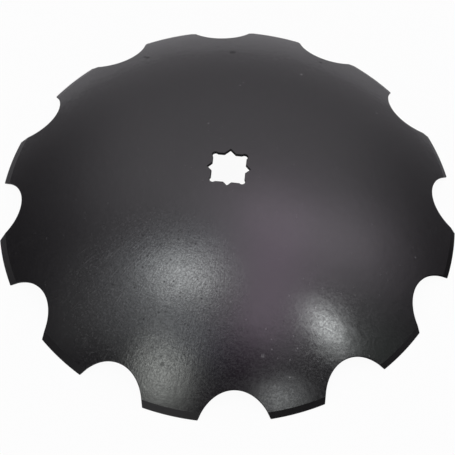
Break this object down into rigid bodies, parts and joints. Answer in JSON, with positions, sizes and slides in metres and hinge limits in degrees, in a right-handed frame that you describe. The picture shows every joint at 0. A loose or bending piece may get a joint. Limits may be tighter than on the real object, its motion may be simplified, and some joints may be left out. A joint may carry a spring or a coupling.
{
  "type": "notched harrow disc blade",
  "caption": "Dished steel harrow disc blade with a notched, bevelled cutting edge and a star-shaped hole for a square gang axle.",
  "frame": {"origin": "on the blade's axis, in the plane of the cutting edge on which the blade rests dome up", "axes": "+Z along the blade's axis, from the hollow side to the crowned side; X and Y square to the flats of the axle hole"},
  "size_m": [0.457, 0.457, 0.0749],
  "materials": {
    "painted_steel": "semi-gloss black paint over rolled steel plate, with fine scratches and small chips"
  },
  "bodies": {
    "root": {"disc_blade": "painted_steel"}
  },
  "joints": []
}
